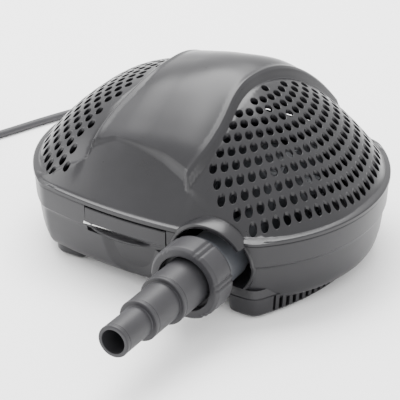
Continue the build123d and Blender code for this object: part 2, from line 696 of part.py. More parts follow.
def mains_plug():
    """Round two-pin plug with a moulded tail, lying across the top of the coil."""
    z = 2 * COIL_LAYERS * CABLE_R + PLUG_R + 0.2
    x, y = COIL_CENTRE[0] - COIL_TURN_R, COIL_CENTRE[1]
    body = rod(PLUG_R, (x, y - 10, z), (x, y + 16, z)) + rod(PLUG_NECK_R, (x, y - 18, z), (x, y - 10, z))
    tail = Plane(origin=(x, y - 18, z), z_dir=(0, -1, 0)) * Cone(
        8.0, CABLE_R + 1.35, 20, align=(Align.CENTER, Align.CENTER, Align.MIN))
    pins = [rod(PIN_R, (x + s * PIN_HALF, y + 14, z), (x + s * PIN_HALF, y + 35, z)) for s in (-1, 1)]
    return body + tail + pins


# ---------------------------------------------------------------- nodes
NODES = (lower_shell, upper_shell, latch, latch_pin, hinge_pins, rubber_feet,
         union_nut, hose_tail, tail_gasket, volute_housing, housing_seal, suction_cover,
         inlet_guard, cover_screws, front_bush, rear_bush, bush_seat, rotor_can,
         rotor_magnet, thrust_washers, shaft, impeller, stator_core, windings,
         motor_housing, motor_flange, motor_screws, motor_buffers, lead_gland, inner_lead,
         cable_gland, strain_relief, power_cable, cable_coil, mains_plug)


def place(shape):
    """Move from the case's plan centre to the row frame."""
    return Pos(0, CENTRE_Y, 0) * shape


os.makedirs("parts", exist_ok=True)
for make in NODES:
    export_step(place(make()), os.path.join("parts", make.__name__ + ".step"))
print("origin shift along Y", round(CENTRE_Y, 3))
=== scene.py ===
import math

import bpy
import numpy as np
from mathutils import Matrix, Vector, kdtree
from mathutils.geometry import delaunay_2d_cdt


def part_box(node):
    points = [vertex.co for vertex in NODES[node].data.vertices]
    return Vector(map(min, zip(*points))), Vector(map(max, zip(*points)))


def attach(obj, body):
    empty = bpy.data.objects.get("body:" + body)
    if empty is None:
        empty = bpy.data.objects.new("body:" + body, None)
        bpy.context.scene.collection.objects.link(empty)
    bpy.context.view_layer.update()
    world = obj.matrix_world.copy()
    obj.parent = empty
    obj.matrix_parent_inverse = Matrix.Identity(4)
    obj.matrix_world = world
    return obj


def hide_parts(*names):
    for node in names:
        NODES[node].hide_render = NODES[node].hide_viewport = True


# Submersible pond pump. Shapes are worked out in millimetres about the case's plan centre:
# +X to the outlet side, -Y to the front, +Z up. row() turns them into the frame's metres.
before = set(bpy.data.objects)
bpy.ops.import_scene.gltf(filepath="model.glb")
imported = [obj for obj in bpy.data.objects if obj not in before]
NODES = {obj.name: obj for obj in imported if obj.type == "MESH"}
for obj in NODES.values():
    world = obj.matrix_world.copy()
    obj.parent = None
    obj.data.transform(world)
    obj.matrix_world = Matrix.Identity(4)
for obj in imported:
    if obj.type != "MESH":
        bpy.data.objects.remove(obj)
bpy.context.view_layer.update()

MM = 0.001
HINGE_Y = 112.0
pin_low, pin_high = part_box("hinge_pins")
SHIFT_Y = (pin_low.y + pin_high.y) / 2 / MM - HINGE_Y

# ---- case outline in plan ----
HALF_WIDTH = 141.5
HALF_DEPTH = 110.6
END_R = 127.7
FRONT_R = 380.0
CORNER_R = 20.0
END_X = HALF_WIDTH - END_R
FRONT_Y = FRONT_R - HALF_DEPTH

# ---- cover ----
RIM_Z = 67.0
SPLIT_Z = 63.6
SPLIT_GAP = 0.3
SKIN = 3.2
DOME_RISE = 83.0
DOME_BASE = 5.0
DOME_POWER = 2.6
DOME_STEEPEN = 8
DOME_FOOT = (5.5, 1.5)      # the dome's foot, in from the rim at an end and at the front
DIP = 10.0                  # the left half of the dome is this much flatter,
DIP_X = -45.0               # about here
DIP_REACH = 45.0
FLANGE_WIDE = 4.4
BAND_RAISE = 3.5
BAND_HALF = 39.0
BAND_LEAN = 0.30            # how fast the band flares towards its wide corner
BAND_BEND = 20.0            # length over which the flare sets in
HOLE_R = 3.0
HOLE_PITCH = 8.8
PITCH_EASE = 0.08
ROW_PITCH = 8.05
FIRST_ROW = 11.2
ROWS = 11
HOLE_EDGE = 8.0
HOLE_REACH = 89.5
HOLE_SIDES = 18
HOLE_EASE = 0.35            # how far each hole's edge is rounded down

# ---- outlet ----
OUTLET_X = 61.0
OUTLET_Z = 44.0
ARCH_R = 30.4
HOOD_R = 34.5
HOOD_FRONT = -111.4

# ---- tray ----
FLOOR_Z = 10.0
TRAY_TOP = 63.4
TRAY_WALL = 3.0
SCOOP_X = -8.0              # middle of the finger scoop
SCOOP_Y = -170.0
SCOOP_R = 70.0

# ---- latch ----
LATCH_X = (-48.0, 25.0)
LATCH_Z = (46.0, 61.5)

# ---- cable ----
CABLE_R = 3.25
FLOOR = CABLE_R + 0.05
EXIT = (-70.0, 134.0, 36.0)
COIL_CENTRE = (-337.0, -20.0)
COIL_TURN_R = 58.0
COIL_LAYERS = 5


def row(point):
    """Millimetres about the case's plan centre to metres in the frame."""
    return (point[0] * MM, (point[1] + SHIFT_Y) * MM, point[2] * MM)


# ---------------------------------------------------------------- camera
def make_camera():
    data = bpy.data.cameras.new("camera")
    camera = bpy.data.objects.new("camera", data)
    bpy.context.scene.collection.objects.link(camera)
    data.sensor_width = 36.0
    data.lens = 225.8
    camera.location = row((892.7, -1496.6, 962.9))
    look = Vector((-0.45568, 0.75525, -0.47112))
    camera.rotation_euler = look.to_track_quat("-Z", "Y").to_euler()
    data.clip_start = 0.05
    data.clip_end = 20.0
    bpy.context.scene.camera = camera


make_camera()


# ---------------------------------------------------------------- materials
def make_material(name, base, rough, grain=900.0, bump=0.12, spread=0.18, metal=0.0, specular=0.5):
    """Moulded or machined surface: tone and roughness vary slowly, a fine grain gives the bump, and convex
    edges get a painted highlight.
    """
    material = bpy.data.materials.new(name)
    material.use_nodes = True
    tree = material.node_tree
    nodes, links = tree.nodes, tree.links
    nodes.clear()
    out = nodes.new("ShaderNodeOutputMaterial")
    shader = nodes.new("ShaderNodeBsdfPrincipled")
    links.new(shader.outputs["BSDF"], out.inputs["Surface"])
    shader.inputs["Metallic"].default_value = metal
    shader.inputs["Coat Weight"].default_value = 0.0
    shader.inputs["Coat Roughness"].default_value = 0.12
    shader.inputs["Specular IOR Level"].default_value = specular
    place = nodes.new("ShaderNodeTexCoord")

    cloud = nodes.new("ShaderNodeTexNoise")
    cloud.inputs["Scale"].default_value = 26.0
    cloud.inputs["Detail"].default_value = 5.0
    cloud.inputs["Roughness"].default_value = 0.62
    links.new(place.outputs["Object"], cloud.inputs["Vector"])

    fine = nodes.new("ShaderNodeTexNoise")
    fine.inputs["Scale"].default_value = grain
    fine.inputs["Detail"].default_value = 3.0
    links.new(place.outputs["Object"], fine.inputs["Vector"])

    tone = nodes.new("ShaderNodeValToRGB")
    dark = [c * (1 - spread) for c in base]
    light = [min(1.0, c * (1 + spread)) for c in base]
    tone.color_ramp.elements[0].position = 0.3
    tone.color_ramp.elements[0].color = (*dark, 1)
    tone.color_ramp.elements[1].position = 0.7
    tone.color_ramp.elements[1].color = (*light, 1)
    links.new(cloud.outputs["Fac"], tone.inputs["Fac"])

    # Painted highlight: convex edges (high pointiness) get a lighter base colour, standing in for light
    # caught on rounded edges.
    edge_shape = nodes.new("ShaderNodeNewGeometry")
    edge = nodes.new("ShaderNodeValToRGB")
    edge.color_ramp.elements[0].position = 0.53
    edge.color_ramp.elements[1].position = 0.62
    links.new(edge_shape.outputs["Pointiness"], edge.inputs["Fac"])
    edge_highlight = nodes.new("ShaderNodeMix")
    edge_highlight.data_type = "RGBA"
    edge_highlight.blend_type = "ADD"
    edge_highlight.inputs["B"].default_value = (0.004, 0.004, 0.004, 1)
    links.new(edge.outputs["Color"], edge_highlight.inputs["Factor"])
    links.new(tone.outputs["Color"], edge_highlight.inputs["A"])
    links.new(edge_highlight.outputs["Result"], shader.inputs["Base Color"])

    gloss = nodes.new("ShaderNodeMapRange")
    gloss.inputs["To Min"].default_value = rough * 0.82
    gloss.inputs["To Max"].default_value = min(1.0, rough * 1.2)
    mixed = nodes.new("ShaderNodeMath")
    mixed.operation = "MULTIPLY_ADD"
    mixed.inputs[1].default_value = 0.35
    links.new(fine.outputs["Fac"], mixed.inputs[0])
    links.new(cloud.outputs["Fac"], mixed.inputs[2])
    links.new(mixed.outputs["Value"], gloss.inputs["Value"])
    links.new(gloss.outputs["Result"], shader.inputs["Roughness"])

    relief = nodes.new("ShaderNodeBump")
    relief.inputs["Strength"].default_value = bump
    relief.inputs["Distance"].default_value = 0.0002
    links.new(fine.outputs["Fac"], relief.inputs["Height"])
    links.new(relief.outputs["Normal"], shader.inputs["Normal"])
    return material


MATERIALS = {
    "case_gloss": make_material("cover_plastic", (0.0105, 0.0102, 0.0118), 0.27, bump=0.04, specular=0.36),
    "case_satin": make_material("tray_plastic", (0.0125, 0.0121, 0.0138), 0.34, bump=0.1, specular=0.34),
    "fitting": make_material("fitting_plastic", (0.021, 0.0205, 0.023), 0.42, bump=0.16, specular=0.32),
    "housing": make_material("housing_plastic", (0.045, 0.048, 0.055), 0.42, bump=0.18),
    "impeller": make_material("impeller_plastic", (0.32, 0.31, 0.29), 0.4, bump=0.1),
    "seal": make_material("seal_rubber", (0.022, 0.022, 0.022), 0.65, bump=0.3),
    "rubber": make_material("pad_rubber", (0.028, 0.028, 0.03), 0.7, bump=0.4),
    "cable": make_material("cable_jacket", (0.03, 0.03, 0.033), 0.5, bump=0.25),
    "plug": make_material("plug_rubber", (0.03, 0.03, 0.033), 0.55, bump=0.3),
    "steel": make_material("stainless_steel", (0.55, 0.55, 0.54), 0.25, grain=2200.0, metal=1.0),
    "shaft": make_material("ceramic_shaft", (0.75, 0.74, 0.70), 0.2, bump=0.03),
    "bush": make_material("ceramic_bush", (0.66, 0.64, 0.60), 0.28, bump=0.04),
    "magnet": make_material("ferrite_magnet", (0.07, 0.07, 0.075), 0.5, bump=0.3),
    "lamination": make_material("lamination_steel", (0.33, 0.32, 0.31), 0.42, metal=1.0, bump=0.3),
    "copper": make_material("winding_copper", (0.62, 0.25, 0.10), 0.32, grain=1600.0, metal=1.0, bump=0.5),
}


# ---------------------------------------------------------------- mesh building
class Skin:
    """Vertices with their normals and faces, gathered for one piece."""

    def __init__(self):
        self.points = []
        self.normals = []
        self.faces = []

    def add(self, points, normals, faces):
        base = len(self.points)
        self.points.extend([tuple(float(c) for c in p) for p in points])
        self.normals.extend([tuple(float(c) for c in n) for n in normals])
        self.faces.extend([tuple(int(i) + base for i in f) for f in faces])

    def strip(self, first, second, first_normals, second_normals, closed=True):
        """Quads between two rows of points, each row with its own normals."""
        count = len(first)
        last = count if closed else count - 1
        faces = []
        for i in range(last):
            j = (i + 1) % count
            faces.append((i, j, count + j, count + i))
        self.add(list(first) + list(second), list(first_normals) + list(second_normals), faces)


def unit(vectors):
    """Vectors of length 1 in the same directions."""
    vectors = np.asarray(vectors, float)
    length = np.linalg.norm(vectors, axis=-1, keepdims=True)
    return vectors / np.maximum(length, 1e-9)


def add_piece(name, skin, body, slot, replaced=(), sharp=None):
    """A mesh object from a skin; with sharp, Blender works the normals out itself."""
    mesh = bpy.data.meshes.new(name)
    mesh.from_pydata([row(p) for p in skin.points], [], skin.faces)
    mesh.validate()
    mesh.shade_smooth()
    if sharp is None:
        mesh.normals_split_custom_set_from_vertices(skin.normals)
    else:
        mesh.set_sharp_from_angle(angle=math.radians(sharp))
    piece = bpy.data.objects.new(name, mesh)
    bpy.context.scene.collection.objects.link(piece)
    mesh.materials.append(MATERIALS[slot])
    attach(piece, body)
    if replaced:
        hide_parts(*replaced)
    return piece


def lathe(skin, profile, centre, segments=96, radius_change=None):
    """A turned shape about an axis along Y: profile is (y, radius) from the rear to the front."""
    rings = []
    for y, radius in profile:
        loop = []
        for i in range(segments):
            a = 2 * math.pi * i / segments
            r = radius if radius_change is None else radius_change(radius, a)
            loop.append((centre[0] + r * math.cos(a), y, centre[1] + r * math.sin(a)))
        rings.append(loop)
    points = [p for loop in rings for p in loop]
    faces = []
    for k in range(len(rings) - 1):
        for i in range(segments):
            j = (i + 1) % segments
            faces.append((k * segments + i, (k + 1) * segments + i,
                          (k + 1) * segments + j, k * segments + j))
    skin.add(points, [(0, 0, 1)] * len(points), faces)


def rounded(profile, radius, steps=4):
    """A (y, r) profile with each inner corner turned into a short arc."""
    made = [profile[0]]
    for before, corner, after in zip(profile, profile[1:], profile[2:]):
        b, c, a = Vector(before), Vector(corner), Vector(after)
        reach = min(radius, (b - c).length * 0.45, (a - c).length * 0.45)
        start = c + (b - c).normalized() * reach
        end = c + (a - c).normalized() * reach
        for k in range(steps + 1):
            t = k / steps
            made.append(tuple(start * (1 - t) ** 2 + c * 2 * t * (1 - t) + end * t ** 2))
    made.append(profile[-1])
    return made


# ---------------------------------------------------------------- case outline
def outline_corner(inset):
    """Where the end arc meets the front arc, for an outline set in from the rim."""
    end_r = END_R - inset
    front_r = FRONT_R - inset
    reach = math.hypot(END_X, FRONT_Y)
    along = (end_r ** 2 - front_r ** 2 + reach ** 2) / (2 * reach)
    across = math.sqrt(end_r ** 2 - along ** 2)
    ux, uy = -END_X / reach, FRONT_Y / reach
    return END_X + ux * along + uy * across, uy * along - ux * across


def quarter_outline(step):
    """Rim points and outward normals from the right end to the rear centre."""
    x, y = outline_corner(CORNER_R)
    corner = Vector((x, abs(y)))
    end_dir = (corner - Vector((END_X, 0))).normalized()
    front_dir = (corner - Vector((0, -FRONT_Y))).normalized()
    end_turn = math.atan2(end_dir.y, end_dir.x)
    front_turn = math.atan2(front_dir.y, front_dir.x)
    arcs = (
        (Vector((END_X, 0)), END_R, 0.0, end_turn),
        (corner, CORNER_R, end_turn, front_turn),
        (Vector((0, -FRONT_Y)), FRONT_R, front_turn, math.pi / 2),
    )
    points, normals = [], []
    for centre, radius, start, stop in arcs:
        count = max(4, round(abs(stop - start) * radius / step))
        for i in range(count):
            a = start + (stop - start) * i / count
            normal = Vector((math.cos(a), math.sin(a)))
            points.append(centre + normal * radius)
            normals.append(normal)
    points.append(Vector((0, HALF_DEPTH)))
    normals.append(Vector((0, 1)))
    return points, normals


def full_outline(step=2.0):
    """The whole rim, anticlockwise from the right end, as arrays of points and normals."""
    points, normals = quarter_outline(step)
    p, n = np.array(points), np.array(normals)
    flip_x, flip_y = np.array((-1, 1)), np.array((1, -1))
    quarter_2 = (p[:-1] * flip_x)[::-1], (n[:-1] * flip_x)[::-1]
    half = np.vstack((p, quarter_2[0])), np.vstack((n, quarter_2[1]))
    lower = (half[0][1:-1] * flip_y)[::-1], (half[1][1:-1] * flip_y)[::-1]
    return np.vstack((half[0], lower[0])), np.vstack((half[1], lower[1]))


RIM_POINTS, RIM_NORMALS = full_outline()


def rim_distance(x, y):
    """How far a plan point is inside the rim; corners are eased."""
    x, y = np.abs(x), np.abs(y)
    to_end = END_R - np.hypot(x - END_X, y)
    to_front = FRONT_R - np.hypot(x, y + FRONT_Y)
    ease = 9.0
    gap = np.clip(1 - np.abs(to_end - to_front) / ease, 0, 1)
    return np.minimum(to_end, to_front) - ease * gap ** 2 / 4


# ---------------------------------------------------------------- cover surface
def step01(t):
    """Smooth step from 0 to 1."""
    t = np.clip(t, 0, 1)
    return t * t * (3 - 2 * t)


def hump(value, middle, reach):
    """Smooth rise of height 1 about the middle value."""
    return np.exp(-((value - middle) / reach) ** 2)


def smooth_max(a, b, ease):
    """Larger of two values, with the change from one to the other eased."""
    gap = np.clip(1 - np.abs(a - b) / ease, 0, 1)
    return np.maximum(a, b) + ease * gap ** 2 / 4


def dome_height(x, y):
    """Height of the dome over the plan."""
    base_x, base_y = HALF_WIDTH - DOME_FOOT[0], HALF_DEPTH - DOME_FOOT[1]
    rho = (np.abs(x / base_x) ** DOME_POWER + np.abs(y / base_y) ** DOME_POWER) ** (1 / DOME_POWER)
    dip = DIP * hump(x, DIP_X, DIP_REACH) * np.maximum(0.0, 1 - rho ** 2)
    return RIM_Z + DOME_RISE * (1 - rho ** 2) + DOME_BASE * (1 - rho ** DOME_STEEPEN) - dip


def right_edge(y):
    """Right-hand edge of the band: leans out to the rear, waisted at the front corner."""
    lean = BAND_LEAN / 2 * (y + np.sqrt(y * y + BAND_BEND ** 2))
    bulge = 3.5 * hump(y, -55, 22)
    waist = 8.0 * hump(y, -97, 14)
    return BAND_HALF + lean + bulge - waist


def left_edge(y):
    """Left-hand edge of the band: widest at the front corner."""
    return -40.0 - 8.7 * (1 + np.tanh((-y - 42) / 25))


# Upper boundary of the front facet: (x, y) corners from the left end to the right.
CREASE = ((-112, -84), (-98, -88.5), (-86, -90), (-67, -88.3), (-59, -85), (-56, -81), (-38, -78),
          (-17, -80), (8, -83), (29, -87), (33, -90.5), (50, -93.3), (62.5, -95.6), (78, -97),
          (100, -99.5))


def crease_y(x):
    """Upper boundary of the front facet at every x."""
    xs, ys = zip(*CREASE)
    return np.interp(x, xs, ys)


def facet_share(x, y):
    """1 on the front facet (and on the rear one, turned half round), 0 elsewhere."""
    wide = 1.2 + 3.0 * step01((np.abs(x + 13) - 48) / 12)
    front = step01((crease_y(x) - y) / wide + 0.5)
    rear = step01((y + crease_y(-x)) / wide + 0.5)
    return np.maximum(front, rear)


def facet_height(x, y):
    """Steep facet that runs from the crease down to the rim."""
    inside = rim_distance(x, y)
    hollow = 2.4 * np.clip(1 - ((inside - 14) / 14) ** 2, 0, 1)
    rise = RIM_Z + 1.0 + 1.5 * inside - hollow
    turn = np.where(y < 0, 1.0, -1.0)
    side = crease_y(x * turn) - y * turn
    flank = step01((np.abs(x * turn + 13) - 46) / 8)
    return rise + 1.3 * flank * hump(np.maximum(side, 0), 0, 6)


def band_share(x, y):
    """1 on the raised band, 0 on the domes, with a steep fall at each edge."""
    inside = np.minimum(right_edge(y) - x, x - left_edge(y))
    return step01((inside + 2.6) / 2.8)


def band_height(x, y):
    """Smooth saddle between the domes, with a soft lip along its edges."""
    inside = np.minimum(right_edge(y) - x, x - left_edge(y))
    lip = 1.1 * hump(inside, 2.6, 2.0) + 1.2 * step01((-x - 10) / 25)
    rear_step = 4.5 * step01((y + 15) / 85) * step01((x - 8) / 30)
    waist = -2.0 * hump(y, -48, 20)
    brow = 3.0 * hump(y, -83, 13)
    return dome_height(x, y) + BAND_RAISE + lip + rear_step + waist + brow


def cover_height(x, y):
    """Height of the cover's outer surface over a plan point."""
    x, y = np.asarray(x, float), np.asarray(y, float)
    inside = rim_distance(x, y)
    flange = RIM_Z - 0.2 + 0.2 * inside
    rise = 1 - (1 - np.clip((inside - FLANGE_WIDE) / 5, 0, 1)) ** 2
    dome = flange + np.maximum(dome_height(x, y) - flange, 0) * rise
    share = band_share(x, y)
    outside = np.maximum(x - right_edge(y), left_edge(y) - x)
    groove = 0.7 * hump(outside, 3.2, 0.9)
    top = (dome - groove) * (1 - share) + band_height(x, y) * share
    facet = facet_share(x, y)
    top = top * (1 - facet) + smooth_max(facet_height(x, y) - 4.0, flange, 0.9) * facet
    edge = np.clip(1 - inside / 0.9, 0, 1)
    return top - 0.55 * edge ** 2


def cover_normal(x, y, reach=0.3):
    dx = (cover_height(x + reach, y) - cover_height(x - reach, y)) / (2 * reach)
    dy = (cover_height(x, y + reach) - cover_height(x, y - reach)) / (2 * reach)
    return unit(np.stack((-dx, -dy, np.ones_like(dx)), axis=-1))


# ---------------------------------------------------------------- perforation
def cad_band_edge(y):
    """Right-hand edge of the band on the CAD cover, which the holes keep clear of."""
    return BAND_HALF + BAND_LEAN / 2 * (y + math.sqrt(y * y + BAND_BEND ** 2))


def hole_centres():
    """Every hole of both domes, in staggered arcs; the left dome is the right one turned half round."""
    right = []
    for number in range(ROWS):
        radius = END_R - FIRST_ROW - number * ROW_PITCH
        pitch = HOLE_PITCH - number * PITCH_EASE
        count = int(radius * math.pi / 2 / pitch)
        for i in range(-count, count + 1):
            angle = (i + 0.5 * ((number + 1) % 2)) * pitch / radius
            x, y = END_X + radius * math.cos(angle), radius * math.sin(angle)
            if x > cad_band_edge(y) + HOLE_EDGE and abs(y) < HOLE_REACH:
                right.append((x, y))
    return right + [(-x, -y) for x, y in right]


# ---------------------------------------------------------------- cover piece
def ring(centre, radius, count):
    """Points of a circle in the plan."""
    turn = np.arange(count) * 2 * math.pi / count
    return np.stack((centre[0] + radius * np.cos(turn), centre[1] + radius * np.sin(turn)), axis=-1)


def offset_outline(inset):
    return RIM_POINTS - RIM_NORMALS * inset


def hex_grid(low, high, pitch):
    points = []
    rise = pitch * math.sqrt(3) / 2
    for j, y in enumerate(np.arange(low[1], high[1], rise)):
        for x in np.arange(low[0] + (j % 2) * pitch / 2, high[0], pitch):
            points.append((x, y))
    return np.array(points)


def away_from(points, fixed, clearance):
    """Those points that keep their distance from every fixed one."""
    tree = kdtree.KDTree(len(fixed))
    for i, p in enumerate(fixed):
        tree.insert((p[0], p[1], 0), i)
    tree.balance()
    return np.array([p for p in points if tree.find((p[0], p[1], 0))[2] > clearance])


def triangulate(points, chains):
    """Triangles over plan points, with each chain's neighbours joined by an edge."""
    vertices = [Vector((float(p[0]), float(p[1]))) for p in points]
    edges = []
    for start, count, closed in chains:
        for i in range(count if closed else count - 1):
            edges.append((start + i, start + (i + 1) % count))
    made = delaunay_2d_cdt(vertices, edges, [], 0, 1e-6, False)
    plan = np.array([(v.x, v.y) for v in made[0]])
    triangles = np.array([f for f in made[2] if len(f) == 3])
    return plan, triangles


def feature_lines():
    """Rows of points along the band's edges and the facets' creases."""
    rows = []
    ys = np.arange(-99, 99.1, 2.0)
    for shift in (-4.6, -3.4, -2.4, -1.4, -0.5, 0.5, 1.8, 3.4, 5.2):
        rows.append(np.stack((right_edge(ys) - shift, ys), axis=-1))
        rows.append(np.stack((left_edge(ys) + shift, ys), axis=-1))
    xs = np.arange(-108, 99, 2.0)
    for shift in (-2.4, -1.2, -0.5, 0.0, 0.5, 1.2, 2.4):
        rows.append(np.stack((xs, crease_y(xs) + shift), axis=-1))
        rows.append(np.stack((-xs, -crease_y(xs) - shift), axis=-1))
    lines = np.vstack(rows)
    return lines[rim_distance(lines[:, 0], lines[:, 1]) > 7.0]


def cover_plan():
    """Plan points and triangles of the cover, with its holes open."""
    centres = hole_centres()
    chains, fixed, start = [], [], 0
    for inset in (0.0, 0.45, 0.9, 2.6, 4.1, 4.5, 5.3, 6.4):
        fixed.append(offset_outline(inset))
        chains.append((start, len(RIM_POINTS), True))
        start += len(RIM_POINTS)
    for centre in centres:
        for radius in (HOLE_R + 0.5, HOLE_R):
            fixed.append(ring(centre, radius, HOLE_SIDES))
            chains.append((start, HOLE_SIDES, True))
            start += HOLE_SIDES
    fixed = np.vstack(fixed)
    near_holes = np.array(centres)
    lines = away_from(feature_lines(), near_holes, HOLE_R + 0.9)
    lines = away_from(lines, fixed, 0.5)
    arch = hex_grid((OUTLET_X - 38, -108), (OUTLET_X + 38, -92), 1.1)
    arch = arch[rim_distance(arch[:, 0], arch[:, 1]) > 7.0]
    grid = hex_grid((-HALF_WIDTH, -HALF_DEPTH), (HALF_WIDTH, HALF_DEPTH), 2.5)
    grid = grid[rim_distance(grid[:, 0], grid[:, 1]) > 7.5]
    grid = away_from(grid, near_holes, HOLE_R + 1.3)
    grid = away_from(grid, np.vstack((lines, arch)), 1.3)
    plan, triangles = triangulate(np.vstack((fixed, lines, arch, grid)), chains)
    middle = plan[triangles].mean(axis=1)
    tree = kdtree.KDTree(len(centres))
    for i, c in enumerate(centres):
        tree.insert((c[0], c[1], 0), i)
    tree.balance()
    keep = np.array([tree.find((m[0], m[1], 0))[2] > HOLE_R * 0.97 for m in middle])
    height = cover_height(plan[:, 0], plan[:, 1])
    in_arch = (np.hypot(plan[:, 0] - OUTLET_X, height - OUTLET_Z) < ARCH_R + 2.0) & (plan[:, 1] < -88)
    keep &= ~in_arch[triangles].all(axis=1)
    return plan, triangles[keep], centres


def build_cover():
    """Cover as a skin of even thickness, with its holes open and its rim closed."""
    skin = Skin()
    plan, triangles, centres = cover_plan()
    x, y = plan[:, 0], plan[:, 1]
    top = cover_height(x, y)
    normals = cover_normal(x, y)
    sunk = np.zeros(len(plan))
    for centre in centres:
        away = np.hypot(x - centre[0], y - centre[1])
        inner = away < HOLE_R + 0.05
        sunk[inner] = HOLE_EASE
        out = np.stack((centre[0] - x[inner], centre[1] - y[inner], np.zeros(inner.sum())), axis=-1)
        normals[inner] = unit(normals[inner] + 1.1 * unit(out))
    skin.add(np.stack((x, y, top - sunk), axis=-1), normals, triangles)
    below = np.maximum(top - SKIN, SPLIT_Z + SPLIT_GAP)
    skin.add(np.stack((x, y, below), axis=-1), -cover_normal(x, y), triangles[:, ::-1])
    for centre in centres:
        edge = ring(centre, HOLE_R, HOLE_SIDES)
        height = cover_height(edge[:, 0], edge[:, 1])
        inward = unit(np.column_stack((centre - edge, np.zeros(HOLE_SIDES))))
        upper = np.column_stack((edge, height - HOLE_EASE))
        lower = np.column_stack((edge, np.maximum(height - SKIN, SPLIT_Z + SPLIT_GAP)))
        skin.strip(upper, lower, inward, inward)
    height = cover_height(RIM_POINTS[:, 0], RIM_POINTS[:, 1])
    outward = np.column_stack((RIM_NORMALS, np.zeros(len(RIM_POINTS))))
    upper = np.column_stack((RIM_POINTS, height))
    lower = np.column_stack((RIM_POINTS, np.full(len(RIM_POINTS), SPLIT_Z + SPLIT_GAP)))
    clear = np.hypot(RIM_POINTS[:, 0] - OUTLET_X, height - OUTLET_Z) > ARCH_R + 1.0
    clear |= RIM_POINTS[:, 1] > 0
    order = np.arange(len(RIM_POINTS))
    gap = order[~clear]
    order = np.roll(order, -(gap.max() + 1))[:len(order) - len(gap)]
    skin.strip(lower[order], upper[order], outward[order], outward[order], closed=False)
    return skin


def arch_ring(z_low, z_high, outer, front_at, rear):
    """Stretch of the raised ring about the outlet between two heights, with a rounded front edge."""
    skin = Skin()
    low = math.asin((z_low - OUTLET_Z) / outer) if z_low > OUTLET_Z - outer else -math.pi / 2
    spans = []
    count = 64
    if z_high > OUTLET_Z + outer:
        spans = np.linspace(low, math.pi - low, count)
    else:
        high = math.asin((z_high - OUTLET_Z) / outer)
        spans = np.linspace(math.pi - high, 2 * math.pi + high, count)
    section = ((ARCH_R, 0.0, 1), (ARCH_R, 0.9, 0), (ARCH_R + 0.5, 0.2, 0), (ARCH_R + 1.2, 0.0, 0),
               (outer - 1.4, 0.0, 0), (outer - 0.5, 0.3, 0), (outer, 1.2, 0), (outer, 0.0, 1))
    points, faces = [], []
    for turn in spans:
        front = front_at(turn)
        for radius, back, at_rear in section:
            y = rear if at_rear else front + back
            points.append((OUTLET_X + radius * math.cos(turn), y, OUTLET_Z + radius * math.sin(turn)))
    wide = len(section)
    for i in range(len(spans) - 1):
        for k in range(wide - 1):
            faces.append((i * wide + k, i * wide + k + 1, (i + 1) * wide + k + 1, (i + 1) * wide + k))
    faces.append(tuple(range(wide))[::-1])
    faces.append(tuple((len(spans) - 1) * wide + k for k in range(wide)))
    skin.add(points, [(0, 0, 1)] * len(points), faces)
    return skin


def hood_front(turn):
    rise = max(0.0, math.sin(turn))
    return -107.5 - (abs(HOOD_FRONT) - 107.5) * rise ** 2


add_piece("cover_shell", build_cover(), "cover", "case_gloss", ["upper_shell"])
add_piece("outlet_hood", arch_ring(SPLIT_Z + SPLIT_GAP, 200, HOOD_R, hood_front, -96.0),
          "cover", "case_gloss", sharp=40)


# ---------------------------------------------------------------- tray
# The tray's wall from the floor up: (height, inset from the rim).
WALL_PROFILE = ((FLOOR_Z, 17.0), (10.2, 14.0), (10.9, 12.0), (12.2, 10.4), (14.0, 9.2), (17.0, 8.0),
                (20.0, 7.2), (24.0, 6.2), (30.0, 5.3), (36.0, 4.6), (41.5, 4.2), (43.2, 4.0),
                (44.0, 3.5), (44.6, 2.5), (45.4, 2.0), (48.0, 1.8), (54.0, 1.4), (60.0, 1.1),
                (62.4, 1.0), (62.9, 1.3), (TRAY_TOP, 2.2))


def wall_inset(z):
    """How far the tray wall stands in from the rim at a height."""
    heights, insets = zip(*WALL_PROFILE)
    return np.interp(z, heights, insets)


def rim_at(s):
    """Rim point and normal at a share of the perimeter, measured from the right end."""
    length = np.arange(len(RIM_POINTS) + 1) / len(RIM_POINTS)
    closed_points = np.vstack((RIM_POINTS, RIM_POINTS[:1]))
    closed_normals = np.vstack((RIM_NORMALS, RIM_NORMALS[:1]))
    s = np.mod(s, 1.0)
    point = np.stack([np.interp(s, length, closed_points[:, k]) for k in (0, 1)], axis=-1)
    normal = np.stack([np.interp(s, length, closed_normals[:, k]) for k in (0, 1)], axis=-1)
    return point, unit(normal)


def tray_point(s, z, deeper=0.0):
    """Point of the tray's wall; the finger scoop and the latch's recess are pressed into it."""
    point, normal = rim_at(s)
    inset = wall_inset(z) + deeper
    place = point - normal * np.asarray(inset)[..., None]
    x, y = place[..., 0], place[..., 1]
    in_scoop = (y < 0) & (np.abs(x - SCOOP_X) < 40) & (z < 47)
    scoop_y = SCOOP_Y + deeper + np.sqrt(np.maximum(SCOOP_R ** 2 - (x - SCOOP_X) ** 2, 0))
    y = np.where(in_scoop, np.maximum(y, scoop_y), y)
    return np.stack((x, y, np.broadcast_to(z, x.shape)), axis=-1)


def tray_row_share(x):
    """Share of the perimeter at a front point with that x."""
    front = np.where(RIM_POINTS[:, 1] < -60)[0]
    order = front[np.argsort(RIM_POINTS[front, 0])]
    return np.interp(x, RIM_POINTS[order, 0], order / len(RIM_POINTS))


def recess_depth(s, z):
    """How far the latch's recess goes in at a point of the wall."""
    low, high = tray_row_share(LATCH_X[0] - 0.6), tray_row_share(LATCH_X[1] + 0.6)
    soft = 0.0006
    across = np.clip((s - low) / soft + 0.5, 0, 1) * np.clip((high - s) / soft + 0.5, 0, 1)
    behind_panel = np.clip((z - 44.9) / 0.5, 0, 1)
    under_lip = np.clip((z - 40.2) / 0.6, 0, 1)
    return across * np.maximum(4.6 * behind_panel, 2.6 * under_lip)


